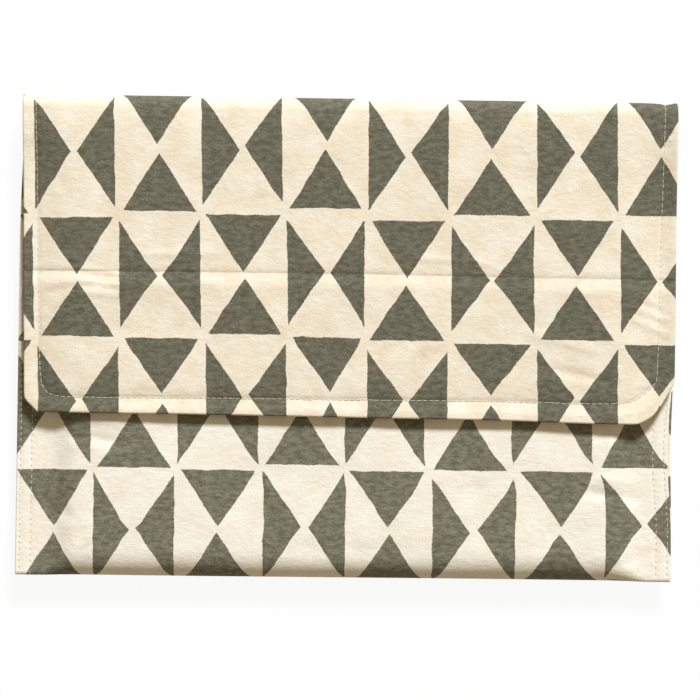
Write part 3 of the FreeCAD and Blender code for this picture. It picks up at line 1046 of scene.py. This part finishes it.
def make_tape(name, word, surface, surface_s, base, rise, cloth, look):
    """A tape sewn on a surface: from depth base to base + rise, its face towards rise."""
    x, s, (x0, x1, s0, s1) = tape_grid(word, surface_s)

    def face(x, s):
        edge = np.minimum(np.minimum(x - x0, x1 - x), np.minimum(s - s0, s1 - s))
        sewn = 0.35 * MM * hump((edge - TAPE_ROW) / (0.6 * MM))
        fall = rounding(edge, 0.4 * MM) + sewn
        return base + rise - math.copysign(1, rise) * fall

    foot = at_depth(base)
    outer, inner = (face, foot) if rise < 0 else (foot, face)
    tape = slab(name, surface, x, s, outer, inner, cloth, look)
    left, right, near, far = x0 + TAPE_ROW, x1 - TAPE_ROW, s0 + TAPE_ROW, s1 - TAPE_ROW
    corners = np.array([(left, near), (right, near), (right, far), (left, far), (left, near)])
    line = along_corners(corners, 0.5 * MM)
    depth = base + rise - math.copysign(0.3 * MM, rise)
    row = stitches(
        f"{name}_stitches", surface, line[:, 0], line[:, 1], THREAD_LOOK, depth=depth,
        out=1 if rise < 0 else -1, seed=len(name)
    )
    return tape, row


def along_corners(corners, spacing):
    """Points along straight runs between corners."""
    steps = np.linalg.norm(np.diff(corners, axis=0), axis=1)
    length = np.concatenate([[0], np.cumsum(steps)])
    places = np.linspace(0, length[-1], round(length[-1] / spacing))
    return np.stack([np.interp(places, length, corners[:, k]) for k in (0, 1)], -1)


def front_s(y):
    return y - BOTTOM_Y - ROLL_OUT + ROLL_LENGTH


def flap_s(y):
    return FLAP_START + FOLD_Y - y


sleeve_pieces = [front_canvas, front_pad, front_lining, back_canvas, back_pad, back_lining]
hook_pieces = []
for side_word in ("left", "right"):
    loop, loop_row = make_tape(
        f"{side_word}_loop_fastener", side_word, FRONT, front_s, 0.0, -TAPE_THICKNESS,
        FRONT_CLOTH, LOOP_LOOK
    )
    hook, hook_row = make_tape(
        f"{side_word}_hook_fastener", side_word, FLAP, flap_s, FLAP_DEPTH + 0.1 * MM, TAPE_THICKNESS,
        FLAP_CLOTH, HOOK_LOOK
    )
    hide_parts(f"{side_word}_loop_tape")
    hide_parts(f"{side_word}_loop_stitching")
    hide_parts(f"{side_word}_hook_tape")
    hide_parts(f"{side_word}_hook_stitching")
    sleeve_pieces += [loop, loop_row]
    hook_pieces += [hook, hook_row]


# -------- rows of stitches


def flap_row_line():
    """The flap's row of stitches, from its root up one side, along the tip and back."""
    near = 9 * MM
    left_end, right_end = -FLAP_HALF_WIDTH + near, FLAP_HALF_WIDTH - near
    corners = np.array([
        (left_end, 1 * MM), (left_end, FLAP_END - near - LEFT_CUT),
        (left_end + LEFT_CUT, FLAP_END - near), (right_end - RIGHT_CUT, FLAP_END - near),
        (right_end, FLAP_END - near - RIGHT_CUT), (right_end, 1 * MM)
    ])
    line = along_corners(corners, 0.8 * MM)
    x, s = line[:, 0], line[:, 1]
    e = 0.05 * MM
    for _ in range(12):
        gap = flap_row_gap(x, s)
        slope_x = (flap_row_gap(x + e, s) - flap_row_gap(x - e, s)) / (2 * e)
        slope_s = (flap_row_gap(x, s + e) - flap_row_gap(x, s - e)) / (2 * e)
        size = slope_x**2 + slope_s**2
        x, s = x - gap * slope_x / size, s - gap * slope_s / size
    return x, s


row_x, row_s = flap_row_line()
root_rows, flap_rows = [], []
low_part, high_part = row_s < SPINE_MIDDLE, row_s >= SPINE_MIDDLE
first_root, last_root = low_part & (row_x < 0), low_part & (row_x > 0)
for face_word, face_depth, face_out in (("top", -0.08 * MM, 1), ("under", FLAP_DEPTH + SLACK, -1)):
    for end_word, chosen in (("left", first_root), ("right", last_root)):
        root_rows.append(stitches(
            f"{end_word}_root_{face_word}_stitches", FLAP, row_x[chosen], row_s[chosen], THREAD_LOOK,
            depth=face_depth, out=face_out, seed=31, kind=TOP_STITCH
        ))
    flap_rows.append(stitches(
        f"flap_{face_word}_stitches", FLAP, row_x[high_part], row_s[high_part], THREAD_LOOK,
        depth=face_depth, out=face_out, seed=32, kind=TOP_STITCH
    ))

side_s = lines(4 * MM, (WALL_LENGTH - 2.5 * MM, 1 * MM))
for surface, wall_word in ((FRONT, "front"), (BACK, "back")):
    for sign, side_word in ((-1, "left"), (1, "right")):
        for inset, row_word in ((OUTER_ROW, "outer"), (INNER_ROW, "inner")):
            across = sign * (HALF_WIDTH - inset) + 0.25 * MM * swell(side_s, side_s * 0, 0.04, 41)
            row = stitches(
                f"{wall_word}_{side_word}_{row_word}_stitches", surface, across, side_s, THREAD_LOOK,
                seed=50 + sign + len(row_word)
            )
            if wall_word == "front":
                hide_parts(f"{side_word}_seam_{row_word}_thread")
            sleeve_pieces.append(row)

hem_half = HALF_WIDTH - SEAM_WIDTH - 1 * MM
hem_x = lines(-hem_half, (hem_half, 1 * MM))
mouth_row = stitches(
    "mouth_hem_stitches", FRONT, hem_x, np.full_like(hem_x, WALL_LENGTH - MOUTH_ROW), THREAD_LOOK,
    depth=0.1 * MM, seed=61
)
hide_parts("mouth_hem_thread")
root_row = stitches(
    "flap_seam_stitches", BACK, hem_x, np.full_like(hem_x, WALL_LENGTH - ROOT_ROW), THREAD_LOOK,
    depth=0.25 * MM, seed=62
)
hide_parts("flap_seam_thread")
sleeve_pieces += [mouth_row, root_row]


# -------- who moves, and what each stands for

# What each cloth replaces; the tapes and the other threads say it where they are made.
STANDS_FOR = {
    front_canvas: ["outer_front_panel"],
    front_pad: ["front_padding"],
    front_lining: ["front_lining"],
    back_canvas: ["outer_back_panel"],
    back_pad: ["back_padding"],
    back_lining: ["back_lining"],
    root_parts[0]: ["flap_root_canvas", "back_fold_canvas", "spine_canvas"],
    root_parts[1]: ["flap_root_interlining", "spine_interlining"],
    root_parts[2]: ["flap_root_lining", "back_fold_lining", "spine_lining"],
    flap_parts[0]: ["flap_outer_panel", "front_fold_canvas"],
    flap_parts[1]: ["flap_interlining"],
    flap_parts[2]: ["flap_lining", "front_fold_lining"],
    flap_rows[0]: ["flap_edge_thread"],
}
for piece, nodes in STANDS_FOR.items():
    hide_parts(*nodes)

for piece in sleeve_pieces:
    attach(piece, "sleeve")
for piece in hook_pieces:
    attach(piece, "flap")
for piece in [*root_parts, *root_rows]:
    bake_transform(piece)
for piece in [*flap_parts, *flap_rows]:
    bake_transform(piece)


# -------- floor, light and camera


FLOOR_Z = -0.0004
FLOOR_BOUNCE = (0.45, 0.42, 0.36, 1)
FLOOR_SHOWN = (0.95, 0.95, 0.95, 1)
FLOOR_GLOW = 0.93


def floor_look():
    """White to the camera, with the object's shadow left faint."""
    graph = Graph("white_table")
    tree = graph.tree
    rays = graph.add("ShaderNodeLightPath").outputs
    seen = graph.calc("MAXIMUM", rays["Is Camera Ray"], rays["Is Glossy Ray"])
    seen = graph.calc("MAXIMUM", seen, rays["Is Transmission Ray"])
    shade = graph.mix(seen, FLOOR_BOUNCE, FLOOR_SHOWN)
    paper = graph.add("ShaderNodeBsdfDiffuse", {"Color": shade})
    white = graph.add("ShaderNodeEmission", {"Strength": 1.0})
    share = graph.calc("MULTIPLY", seen, FLOOR_GLOW)
    both = graph.add("ShaderNodeMixShader", {0: share, 1: paper.outputs[0], 2: white.outputs[0]})
    tree.links.new(both.outputs[0], tree.nodes["Material Output"].inputs["Surface"])
    return graph.material


bpy.ops.mesh.primitive_plane_add(size=4, location=(0, 0, FLOOR_Z))
floor = bpy.context.object
floor.name = "table_top"
floor.data.materials.append(floor_look())

FILL_STRENGTH = 0.3
FILL_COLOUR = (1, 0.82, 0.57, 1)
SUN_STRENGTH = 3.74
SUN_COLOUR = (1, 1.063, 1.174)
SUN_FROM = Vector((0.28, 1.0, 0.76))
SUN_SPREAD = 12


def studio_world():
    """A weak warm fill on the object, shown as plain white."""
    world = bpy.data.worlds.new("studio")
    world.use_nodes = True
    air = world.node_tree
    fill = air.nodes["Background"]
    fill.inputs["Color"].default_value = FILL_COLOUR
    fill.inputs["Strength"].default_value = FILL_STRENGTH
    shown = air.nodes.new("ShaderNodeBackground")
    shown.inputs["Color"].default_value = (1, 1, 1, 1)
    shown.inputs["Strength"].default_value = 1.0
    rays = air.nodes.new("ShaderNodeLightPath").outputs
    seen = rays["Is Camera Ray"]
    for kind in ("Is Glossy Ray", "Is Transmission Ray"):
        either = air.nodes.new("ShaderNodeMath")
        either.operation = "MAXIMUM"
        air.links.new(seen, either.inputs[0])
        air.links.new(rays[kind], either.inputs[1])
        seen = either.outputs[0]
    choice = air.nodes.new("ShaderNodeMixShader")
    air.links.new(seen, choice.inputs[0])
    air.links.new(fill.outputs[0], choice.inputs[1])
    air.links.new(shown.outputs[0], choice.inputs[2])
    air.links.new(choice.outputs[0], air.nodes["World Output"].inputs["Surface"])
    return world


scene.world = studio_world()

sun_data = bpy.data.lights.new("window_light", "SUN")
sun_data.energy = SUN_STRENGTH
sun_data.color = SUN_COLOUR
sun_data.angle = math.radians(SUN_SPREAD)
sun = put_in_scene("window_light", sun_data)
sun.rotation_euler = SUN_FROM.to_track_quat("Z", "Y").to_euler()

CAMERA_PLACE = (0.0019, -0.0057, 1.5)
CAMERA_ROLL = 0.85
CAMERA_LENS = 143.5

camera_data = bpy.data.cameras.new("camera")
camera_data.sensor_width = 36
camera_data.lens = CAMERA_LENS
camera = put_in_scene("camera", camera_data)
camera.location = CAMERA_PLACE
camera.rotation_euler = (0, 0, math.radians(CAMERA_ROLL))
scene.camera = camera
scene.view_settings.view_transform = "Standard"
